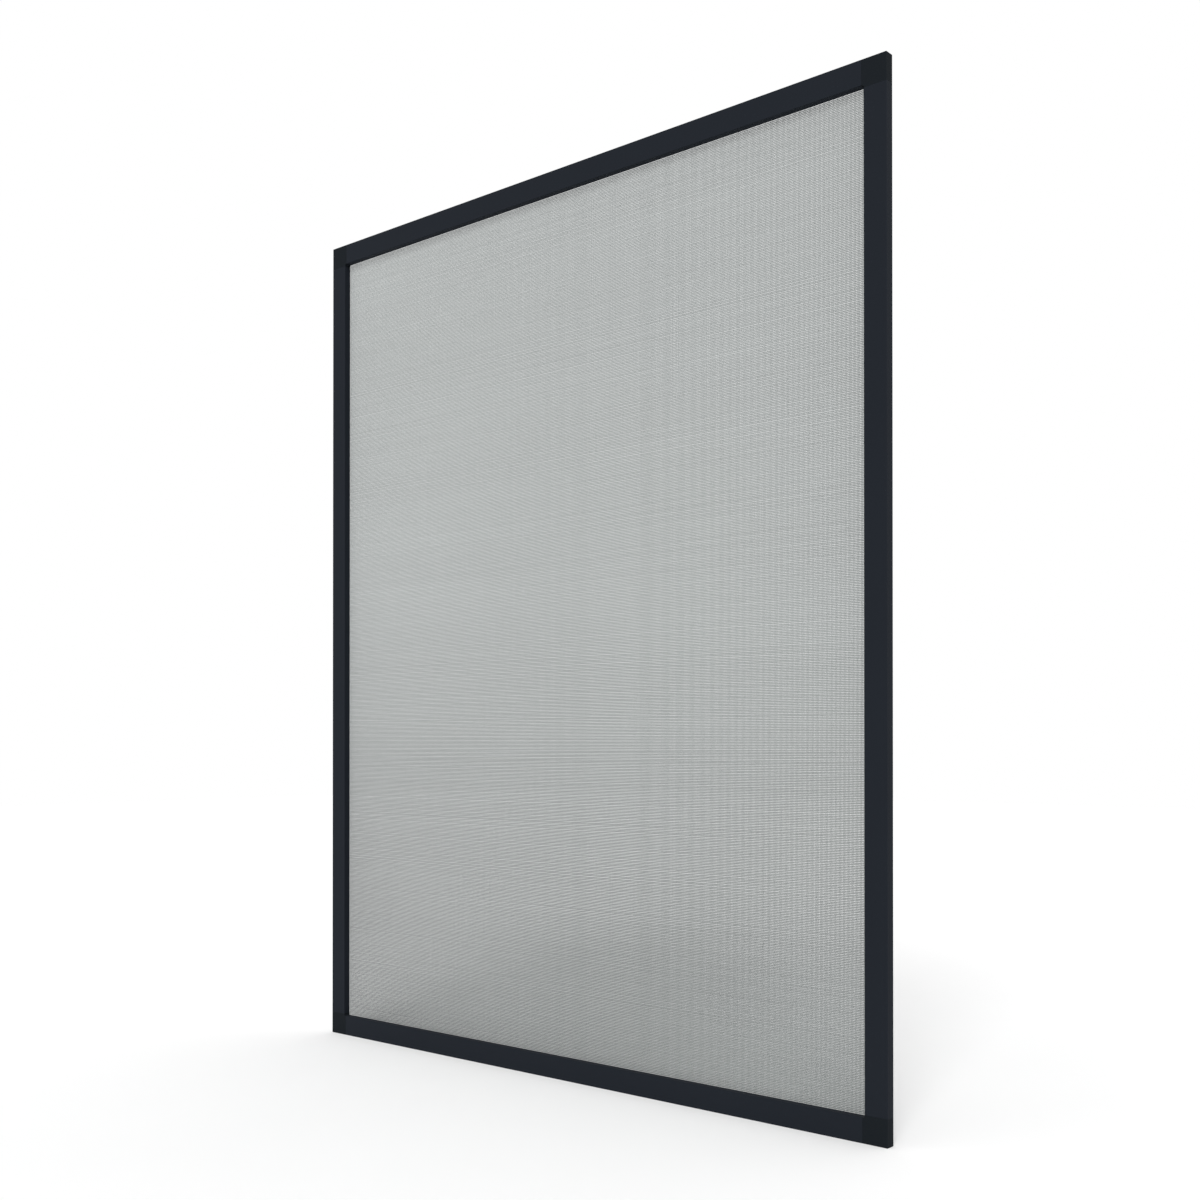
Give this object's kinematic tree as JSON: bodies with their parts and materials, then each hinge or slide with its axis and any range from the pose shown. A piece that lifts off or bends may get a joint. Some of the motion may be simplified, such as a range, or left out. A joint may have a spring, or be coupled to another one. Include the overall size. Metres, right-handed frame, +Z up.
{
  "type": "window insect screen frame",
  "caption": "Flat rectangular insect screen for a window: slim dark metal profiles with moulded corner connectors, a fine grey woven screen and hanging hooks on the back.",
  "frame": {"origin": "middle of the bottom rail's underside, half way through the frame's depth", "axes": "+X to the right along the width as seen from the front, +Y from the plain front face to the back, +Z up along the height"},
  "size_m": [0.8, 0.0252, 1],
  "materials": {
    "powder_coat": "dark anthracite powder coat on extruded aluminium, fine texture, satin",
    "corner_plastic": "moulded plastic, near-black grey, fine matte grain",
    "mesh_cloth": "coated glass-fibre weave, mid grey, satin threads",
    "spline_cord": "soft black ribbed cord",
    "brush_pile": "dense grey pile on a woven backing",
    "hook_steel": "stainless strip, brushed lengthwise",
    "screw_steel": "zinc-plated pan-head screws"
  },
  "bodies": {
    "root": {"top_rail": "powder_coat", "bottom_rail": "powder_coat", "left_stile": "powder_coat", "right_stile": "powder_coat", "corner_top_left": "corner_plastic", "corner_top_right": "corner_plastic", "corner_bottom_left": "corner_plastic", "corner_bottom_right": "corner_plastic", "insect_mesh": "mesh_cloth", "spline_top": "spline_cord", "spline_bottom": "spline_cord", "spline_left": "spline_cord", "spline_right": "spline_cord", "brush_seal_top": "brush_pile", "brush_seal_bottom": "brush_pile", "brush_seal_left": "brush_pile", "brush_seal_right": "brush_pile", "hook_top_left": "hook_steel", "hook_top_right": "hook_steel", "hook_bottom_left": "hook_steel", "hook_bottom_right": "hook_steel", "hook_screws": "screw_steel"}
  },
  "joints": []
}
